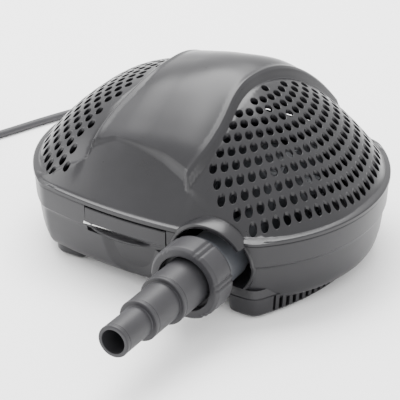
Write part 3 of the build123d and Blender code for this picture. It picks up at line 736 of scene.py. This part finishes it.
def build_tray():
    """Tray as a closed skin: outer wall with the outlet's opening, inner wall and floor."""
    skin = Skin()
    rows = len(RIM_POINTS)
    latch_low, latch_high = tray_row_share(LATCH_X[0] - 0.6), tray_row_share(LATCH_X[1] + 0.6)
    shares = [np.arange(0, 1, 1 / rows)]
    for edge in (latch_low, latch_high):
        shares.append(edge + np.array((-0.0005, -0.00031, 0.00031, 0.0005)))
    shares = np.unique(np.concatenate(shares))
    levels = {z for z, _ in WALL_PROFILE}
    levels.update((27, 33, 39, 40.2, 40.8, 44.8, 44.95, 45.35, 45.5, 51, 57, 61.5))
    levels = np.array(sorted(levels))
    turn = np.arange(72) * 2 * math.pi / 72
    ring_z = OUTLET_Z + (ARCH_R + 1.6) * np.sin(turn)
    ring_x = OUTLET_X + (ARCH_R + 1.6) * np.cos(turn)
    inside = (ring_z < 63.0)
    ring_z, ring_x = ring_z[inside], ring_x[inside]
    share_x = tray_row_share(ring_x)
    _, normal = rim_at(share_x)
    ring_s = tray_row_share(ring_x + normal[:, 0] * wall_inset(ring_z))
    scale = 800.0
    grid_s, grid_z = np.meshgrid(shares, levels)
    grid = np.stack((grid_s.ravel() * scale, grid_z.ravel()), axis=-1)
    arch = np.stack((ring_s * scale, ring_z), axis=-1)
    near = away_from(grid, arch, 0.7)
    plan, triangles = triangulate(np.vstack((arch, near)), [(0, 0, False)])
    s, z = plan[:, 0] / scale, plan[:, 1]
    middle = plan[triangles].mean(axis=1)
    centre = tray_point(middle[:, 0] / scale, middle[:, 1])
    hole = np.hypot(centre[:, 0] - OUTLET_X, centre[:, 2] - OUTLET_Z) < ARCH_R + 1.6
    triangles = triangles[~(hole & (centre[:, 1] < 0))]
    outer = tray_point(s, z, recess_depth(s, z))
    skin.add(outer, np.zeros_like(outer), triangles)
    seam = []
    for level in levels:
        height = np.array([level])
        seam.append((tray_point(shares[-1:], height)[0], tray_point(shares[:1], height)[0]))
    for low, high in zip(seam, seam[1:]):
        skin.add([low[0], low[1], high[1], high[0]], [(0, 0, 1)] * 4, [(0, 1, 2, 3)])
    inner_levels = np.array((13.0, 16.0, 20.0, 26.0, 34.0, 42.0, 48.0, 56.0, TRAY_TOP))
    inner_rows = []
    for level in inner_levels:
        point, normal = rim_at(np.arange(0, 1, 1 / rows))
        inset = max(wall_inset(level), 3.4 if level > 43 else 0.0) + (TRAY_WALL if level < 63 else 0.2)
        place = point - normal * inset
        inner_rows.append(np.column_stack((place, np.full(rows, level))))
    for low, high in zip(inner_rows, inner_rows[1:]):
        fill_wall(skin, high, low)
    top_outer = tray_point(np.arange(0, 1, 1 / rows), np.full(rows, TRAY_TOP))
    fill_wall(skin, top_outer, inner_rows[-1])
    fill_cap(skin, tray_point(np.arange(0, 1, 1 / rows), np.full(rows, FLOOR_Z)), down=True)
    fill_cap(skin, inner_rows[0], down=False)
    return skin


def fill_wall(skin, first, second):
    """Quads between two closed rows, left open where the outlet goes through the wall."""
    points = np.vstack((first, second))
    count = len(first)
    faces = []
    for i in range(count):
        j = (i + 1) % count
        face = (i, j, count + j, count + i)
        middle = points[list(face)].mean(axis=0)
        if middle[1] < 0 and math.hypot(middle[0] - OUTLET_X, middle[2] - OUTLET_Z) < ARCH_R + 1.0:
            continue
        faces.append(face)
    skin.add(points, np.zeros_like(points), faces)


def fill_cap(skin, loop, down):
    face = tuple(range(len(loop)))
    skin.add(loop, np.zeros_like(loop), [face[::-1] if down else face])


add_piece("tray_shell", build_tray(), "case", "case_satin", ["lower_shell"], sharp=38)


# ---------------------------------------------------------------- hinge ears
HINGE_Z = 64.0
KNUCKLE_R = 4.5
HINGE_X = (-52.0, 52.0)
CASE_EARS = ((-13.0, -6.3), (6.3, 13.0))
COVER_EARS = ((-6.0, 6.0),)


def build_ears(spans, web_low, web_high):
    """Knuckles on the hinge line, each with the web that ties it to the rear of the case."""
    skin = Skin()
    for middle in HINGE_X:
        for low, high in spans:
            x0, x1 = middle + low, middle + high
            turn = np.arange(28) * 2 * math.pi / 28
            circle_y = HINGE_Y + KNUCKLE_R * np.cos(turn)
            circle_z = HINGE_Z + KNUCKLE_R * np.sin(turn)
            circle = np.stack((circle_y, circle_z), axis=-1)
            web = np.array(((HINGE_Y - 8, web_low), (HINGE_Y, web_low),
                            (HINGE_Y, web_high), (HINGE_Y - 8, web_high)))
            for section in (circle, web):
                count = len(section)
                left = np.column_stack((np.full(count, x0), section))
                right = np.column_stack((np.full(count, x1), section))
                skin.add(np.vstack((left, right)), np.zeros((2 * count, 3)),
                         [(i, (i + 1) % count, count + (i + 1) % count, count + i) for i in range(count)])
                fill_cap(skin, left, down=True)
                fill_cap(skin, right, down=False)
    return skin


add_piece("case_knuckles", build_ears(CASE_EARS, SPLIT_Z - 8, SPLIT_Z),
          "case", "case_satin", sharp=40)
add_piece("cover_knuckles", build_ears(COVER_EARS, SPLIT_Z + SPLIT_GAP, RIM_Z),
          "cover", "case_gloss", sharp=40)


def lower_front(turn):
    """Front edge of the ring below the split: just proud of the wall that it runs through."""
    x = OUTLET_X + (ARCH_R + 1.5) * math.cos(turn)
    z = OUTLET_Z + (ARCH_R + 1.5) * math.sin(turn)
    z = min(max(z, 12.0), 63.0)
    place = tray_point(np.array([tray_row_share(x)]), np.array([z]))[0]
    return place[1] - 0.9


add_piece("outlet_ring", arch_ring(0, SPLIT_Z - 0.1, ARCH_R + 3.0, lower_front, -88.0),
          "case", "case_gloss", sharp=40)


# ---------------------------------------------------------------- pods
POD_TIP = {1: (97.0, 70.0, 98.0), -1: (88.0, 62.0, 90.0)}
POD_OUTER = 122.0
SLOT_STEP = 1.1
SLOT_LOW, SLOT_HIGH = 4.0, 17.0
POD_WALL = 3.0


def eased_corner(before, corner, after, reach, steps=6):
    """Short arc in place of a corner."""
    start = corner + (before - corner).normalized() * reach
    end = corner + (after - corner).normalized() * reach
    arc = []
    for k in range(steps + 1):
        t = k / steps
        arc.append(start * (1 - t) ** 2 + corner * 2 * t * (1 - t) + end * t ** 2)
    return arc


def pod_outline(side):
    """Plan of a pod and, for every point, whether a slot starts there."""
    front, inner, tip = POD_TIP[side]
    reach = front - 5
    bow_r = ((POD_OUTER - tip) ** 2 + reach ** 2) / (2 * (POD_OUTER - tip))
    count = int(math.asin((reach - 6) / bow_r) * bow_r / SLOT_STEP)
    bow = []
    for i in range(-count, count + 1):
        a = i * SLOT_STEP / bow_r
        bow.append(Vector((POD_OUTER - bow_r + bow_r * math.cos(a), bow_r * math.sin(a))))
    slotted = [(i % 6) < 3 and side > 0 and abs(i) < count - 3 for i in range(-count, count + 1)]
    tip_front, tip_rear = Vector((tip - 2, -front)), Vector((tip - 2, front))
    in_front, in_rear = Vector((inner, -front)), Vector((inner, front))
    front_arc = eased_corner(in_front, tip_front, bow[0], 8.0)
    rear_arc = eased_corner(bow[-1], tip_rear, in_rear, 8.0)
    inner_rear = eased_corner(tip_rear, in_rear, in_front, 9.0)
    inner_front = eased_corner(in_rear, in_front, tip_front, 9.0)
    parts = front_arc + bow + rear_arc + inner_rear + inner_front
    open_at = [False] * len(front_arc) + slotted
    open_at += [False] * (len(parts) - len(open_at))
    return np.array([(p.x * side, p.y * side) for p in parts]), np.array(open_at)


def loop_normals(points):
    points = np.asarray(points)
    along = np.roll(points, -1, axis=0) - np.roll(points, 1, axis=0)
    return unit(np.stack((along[:, 1], -along[:, 0]), axis=-1))


def pod_row(loop, normals, z, inset):
    return np.column_stack((loop - normals * inset, np.full(len(loop), z)))


def add_band(skin, low, high, skip=None, flip=False):
    """Quads between two closed rows; places marked in skip are left open."""
    count = len(low)
    faces = []
    for i in range(count):
        if skip is not None and skip[i]:
            continue
        j = (i + 1) % count
        face = (i, j, count + j, count + i)
        faces.append(face[::-1] if flip else face)
    skin.add(np.vstack((low, high)), np.zeros((2 * count, 3)), faces)


def build_pod(side):
    """Closed foot, rounded below, with real slots cut through the right one's bow."""
    skin = Skin()
    loop, open_at = pod_outline(side)
    normals = loop_normals(loop)
    below = ((1.0, 5.0), (1.3, 3.6), (2.1, 2.2), (3.0, 1.3), (SLOT_LOW, 0.7))
    above = ((SLOT_HIGH, -0.4), (17.5, 0.5), (24.0, 1.4))
    rows = [pod_row(loop, normals, z, inset) for z, inset in below]
    tops = [pod_row(loop, normals, z, inset) for z, inset in above]
    for low, high in zip(rows, rows[1:]):
        add_band(skin, low, high)
    add_band(skin, rows[-1], tops[0], skip=open_at)
    for low, high in zip(tops, tops[1:]):
        add_band(skin, low, high)
    fill_cap(skin, rows[0], down=True)
    fill_cap(skin, tops[-1], down=False)
    inner_low = pod_row(loop, normals, SLOT_LOW, POD_WALL)
    inner_high = pod_row(loop, normals, SLOT_HIGH, POD_WALL)
    add_band(skin, inner_low, inner_high, skip=open_at, flip=True)
    for i in np.where(open_at)[0]:
        j = i + 1
        skin.add([rows[-1][i], rows[-1][j], inner_low[j], inner_low[i]], np.zeros((4, 3)), [(0, 1, 2, 3)])
        skin.add([tops[0][i], tops[0][j], inner_high[j], inner_high[i]], np.zeros((4, 3)), [(3, 2, 1, 0)])
        for edge, starts in ((i, not open_at[i - 1]), (j, not open_at[j])):
            if starts:
                side_wall = [rows[-1][edge], inner_low[edge], inner_high[edge], tops[0][edge]]
                turn = (0, 1, 2, 3) if edge == i else (3, 2, 1, 0)
                skin.add(side_wall, np.zeros((4, 3)), [turn])
    if open_at.any():
        back = pod_row(loop, normals, SLOT_LOW, 14.0)
        back_high = pod_row(loop, normals, SLOT_HIGH, 14.0)
        add_band(skin, back, back_high)
    return skin


add_piece("right_pod", build_pod(1), "case", "case_satin", sharp=50)
add_piece("left_pod", build_pod(-1), "case", "case_satin", sharp=50)


# ---------------------------------------------------------------- latch
def build_latch():
    """Front latch: a curved panel with a crescent finger pull moulded into its foot."""
    skin = Skin()
    pull_centre, pull_half = -14.5, 27.5
    xs = np.linspace(LATCH_X[0], LATCH_X[1], 75)
    rows = []
    for x in xs:
        depth = max(0.0, 1 - ((x - pull_centre) / pull_half) ** 2) ** 0.75
        surface = FRONT_Y - math.sqrt((FRONT_R - 0.9) ** 2 - x ** 2)
        section = (
            (-3.4, LATCH_Z[1]), (-0.6, LATCH_Z[1]), (0.0, LATCH_Z[1] - 0.6), (0.0, 52.0), (0.0, 49.4),
            (-0.3 - 0.3 * depth, 49.0), (-0.3 - 3.0 * depth, 48.6), (-0.3 - 3.0 * depth, 47.2 - 1.6 * depth),
            (0.6 * depth, 46.6 - 2.0 * depth), (2.2 * depth, 46.4 - 2.4 * depth),
            (2.7 * depth, 46.0 - 2.6 * depth), (2.2 * depth, LATCH_Z[0] - 3.0 * depth),
            (-0.4 + 0.6 * depth, LATCH_Z[0] - 2.8 * depth), (-3.4, LATCH_Z[0] + 0.2),
        )
        rows.append([(x, surface - out, z) for out, z in section])
    wide = len(rows[0])
    points = [p for r in rows for p in r]
    faces = []
    for i in range(len(rows) - 1):
        for k in range(wide):
            j = (k + 1) % wide
            faces.append((i * wide + k, i * wide + j, (i + 1) * wide + j, (i + 1) * wide + k))
    faces.append(tuple(range(wide))[::-1])
    faces.append(tuple((len(rows) - 1) * wide + k for k in range(wide)))
    skin.add(points, [(0, 0, 1)] * len(points), faces)
    return skin


add_piece("latch_panel", build_latch(), "latch", "case_satin", ["latch"], sharp=35)


# ---------------------------------------------------------------- union nut and hose tail
NUT_R = 29.5
NUT_FRONT = -141.6
NUT_REAR = -119.0
NUT_LIP = 7.0
NUT_OPENING_R = 21.9
NUT_THREAD_R = 24.25
GRIP_AT = 68.0              # degrees to the middle of a pair of grip grooves
GRIP_STEP = 60.0            # degrees from pair to pair
GRIP_HALF = 4.6             # half the angle between the two grooves of a pair


def grip(radius, turn):
    """Radius of the nut with its pairs of grip grooves."""
    if radius < NUT_R - 3:
        return radius
    nearest = (math.degrees(turn) - GRIP_AT + GRIP_STEP / 2) % GRIP_STEP - GRIP_STEP / 2
    groove = 0.0
    for at in (-GRIP_HALF, GRIP_HALF):
        groove = max(groove, math.exp(-((nearest - at) / 2.0) ** 2))
    return radius - 1.1 * groove


def build_nut():
    """Union nut, turned, with its grip grooves."""
    skin = Skin()
    profile = [(NUT_REAR, NUT_THREAD_R), (NUT_REAR, NUT_R - 0.9), (NUT_REAR - 2.2, NUT_R),
               (NUT_FRONT + 2.4, NUT_R - 0.2), (NUT_FRONT, NUT_R - 2.2), (NUT_FRONT, NUT_OPENING_R),
               (NUT_FRONT + NUT_LIP, NUT_OPENING_R), (NUT_FRONT + NUT_LIP, NUT_THREAD_R),
               (NUT_REAR, NUT_THREAD_R)]
    lathe(skin, rounded(profile, 0.7), (OUTLET_X, OUTLET_Z), 240, grip)
    return skin


add_piece("union_nut_body", build_nut(), "nut", "fitting", ["union_nut"], sharp=40)

tail_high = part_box("hose_tail")[1]
TAIL_REAR = tail_high.y / MM - SHIFT_Y
TAIL_STEPS = ((19.0, -171.1), (16.0, -203.7), (12.5, -236.7))
BORE_STEPS = ((15.95, -171.1), (12.95, -203.7), (9.45, -236.7))


def build_tail():
    """Stepped hose tail: each step swells a little towards a beaded front edge."""
    skin = Skin()
    collar_r = 23.0
    profile = [(TAIL_REAR, 15.95), (TAIL_REAR, collar_r), (TAIL_REAR - 4.0, collar_r)]
    for radius, end in TAIL_STEPS:
        start_r = min(radius, profile[-1][1])
        profile += [(profile[-1][0], start_r - 0.25), (end + 4.6, radius - 0.05),
                    (end + 4.0, radius - 0.45), (end + 3.4, radius), (end + 0.6, radius + 0.12),
                    (end, radius - 0.6)]
    for radius, end in reversed(BORE_STEPS):
        profile += [(end, radius), (end + 30.0, radius)]
    profile.append((TAIL_REAR, 15.95))
    lathe(skin, rounded(profile, 0.5), (OUTLET_X, OUTLET_Z), 128)
    return skin


add_piece("stepped_tail", build_tail(), "tail", "fitting", ["hose_tail"], sharp=40)


# ---------------------------------------------------------------- cable
CABLE_ROUTE = (
    EXIT,
    (EXIT[0] - 1, EXIT[1] + 22, EXIT[2] - 1),
    (EXIT[0] - 9, EXIT[1] + 46, EXIT[2] - 16),
    (EXIT[0] - 28, EXIT[1] + 68, FLOOR),
    (EXIT[0] - 62, EXIT[1] + 76, FLOOR),
    (-176, 190, FLOOR),
    (-203, 145, FLOOR),
    (-226, 98, FLOOR),
    (-243, 55, FLOOR),
    (-262, 18, FLOOR),
    (COIL_CENTRE[0] + COIL_TURN_R, COIL_CENTRE[1] + 6, FLOOR),
)
plug_low, plug_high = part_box("mains_plug")
PLUG_X = (plug_low.x + plug_high.x) / 2 / MM
PLUG_Z = (plug_low.z + plug_high.z) / 2 / MM
PLUG_END = plug_low.y / MM - SHIFT_Y
PLUG_BEND = 34.0
# Way off the coil, (degrees, radius, lift), and then round into the plug, (degrees, drop).
COIL_EXIT = ((-12, 58, 0.0), (-32, 60, 1.0), (-52, 63.5, 2.8), (-72, 67.5, 4.8), (-90, 70, 6.6))
PLUG_LEAD = ((272, 2.6), (250, 1.6), (228, 0.8), (206, 0.3), (188, 0.0))


def coil_points():
    """Turns of the coil: bundle places are filled layer by layer, out and back."""
    points = []
    pitch = 2 * CABLE_R + 0.03
    per_turn = 14
    places = []
    for layer in range(COIL_LAYERS):
        columns = range(-1 if layer < 2 else 0, COIL_LAYERS)
        columns = columns if layer % 2 == 0 else reversed(columns)
        places += [((c - (COIL_LAYERS - 1) / 2) * pitch, FLOOR + layer * pitch * 0.995) for c in columns]
    for number, (out, z) in enumerate(places):
        after = places[min(number + 1, len(places) - 1)]
        for k in range(per_turn):
            share = k / per_turn
            blend = min(1.0, max(0.0, (share - 0.7) / 0.3))
            radius = COIL_TURN_R + out + (after[0] - out) * blend
            height = z + (after[1] - z) * blend
            turn = -2 * math.pi * share
            points.append((COIL_CENTRE[0] + radius * math.cos(turn),
                           COIL_CENTRE[1] + radius * math.sin(turn), height))
    return points


def make_cable():
    """Whole cable as one round curve, from the case through the coil to the plug."""
    data = bpy.data.curves.new("mains_cable", "CURVE")
    data.dimensions = "3D"
    spline = data.splines.new("NURBS")
    points = list(CABLE_ROUTE) + coil_points()
    top = FLOOR + COIL_LAYERS * 2 * CABLE_R
    for degrees, radius, lift in COIL_EXIT:
        turn = math.radians(degrees)
        points.append((COIL_CENTRE[0] + radius * math.cos(turn),
                       COIL_CENTRE[1] + radius * math.sin(turn), top + lift))
    for degrees, drop in PLUG_LEAD:
        turn = math.radians(degrees)
        points.append((PLUG_X + PLUG_BEND * (1 + math.cos(turn)),
                       PLUG_END + PLUG_BEND * math.sin(turn), PLUG_Z - drop))
    points.append((PLUG_X, PLUG_END + 1.0, PLUG_Z))
    spline.points.add(len(points) - 1)
    for control, point in zip(spline.points, points):
        control.co = (*row(point), 1.0)
    spline.order_u = 3
    spline.use_endpoint_u = True
    data.resolution_u = 6
    data.bevel_depth = CABLE_R * MM
    data.bevel_resolution = 5
    data.use_fill_caps = True
    data.materials.append(MATERIALS["cable"])
    piece = bpy.data.objects.new("mains_cable", data)
    bpy.context.scene.collection.objects.link(piece)
    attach(piece, "case")
    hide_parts("power_cable", "cable_coil")


make_cable()


# ---------------------------------------------------------------- nodes that stay as they are
NODE_SLOTS = {
    "latch_pin": "steel", "hinge_pins": "steel", "cover_screws": "steel", "motor_screws": "steel",
    "rubber_feet": "rubber", "motor_buffers": "rubber", "tail_gasket": "seal",
    "housing_seal": "seal", "volute_housing": "housing", "suction_cover": "housing",
    "inlet_guard": "housing", "motor_housing": "housing", "motor_flange": "housing",
    "front_bush": "bush", "rear_bush": "bush", "thrust_washers": "bush", "bush_seat": "seal",
    "rotor_can": "steel", "rotor_magnet": "magnet", "shaft": "shaft", "impeller": "impeller",
    "stator_core": "lamination", "windings": "copper", "lead_gland": "seal",
    "inner_lead": "cable", "cable_gland": "case_satin", "strain_relief": "plug",
    "mains_plug": "plug",
}
for node, slot_name in NODE_SLOTS.items():
    kept = NODES[node]
    kept.data.materials.clear()
    kept.data.materials.append(MATERIALS[slot_name])


# ---------------------------------------------------------------- floor and light
def make_floor():
    mesh = bpy.data.meshes.new("floor")
    size = 6.0
    mesh.from_pydata([(-size, -size, 0), (size, -size, 0), (size, size, 0), (-size, size, 0)], [],
                     [(0, 1, 2, 3)])
    floor = bpy.data.objects.new("floor", mesh)
    bpy.context.scene.collection.objects.link(floor)
    material = make_material("studio_floor", (0.95, 0.95, 0.95), 0.9, grain=300.0, bump=0.02, spread=0.004)
    mesh.materials.append(material)


def area_light(name, place, target, size, power):
    data = bpy.data.lights.new(name, "AREA")
    data.shape = "RECTANGLE"
    data.size, data.size_y = size
    data.energy = power
    light = bpy.data.objects.new(name, data)
    bpy.context.scene.collection.objects.link(light)
    light.location = place
    light.rotation_euler = (Vector(target) - Vector(place)).to_track_quat("-Z", "Y").to_euler()


def make_world():
    world = bpy.data.worlds.new("studio")
    bpy.context.scene.world = world
    world.use_nodes = True
    background = world.node_tree.nodes["Background"]
    background.inputs["Color"].default_value = (1.0, 1.0, 1.0, 1)
    background.inputs["Strength"].default_value = 2.1


make_floor()
make_world()
area_light("top_soft", (-0.5, 0.5, 1.6), (0, 0, 0.05), (1.6, 1.2), 72)
area_light("left_soft", (-1.5, -0.6, 0.5), (0, 0, 0.08), (0.9, 1.0), 13)
area_light("right_soft", (1.2, -1.3, 0.3), (0, 0, 0.05), (0.9, 0.4), 5)
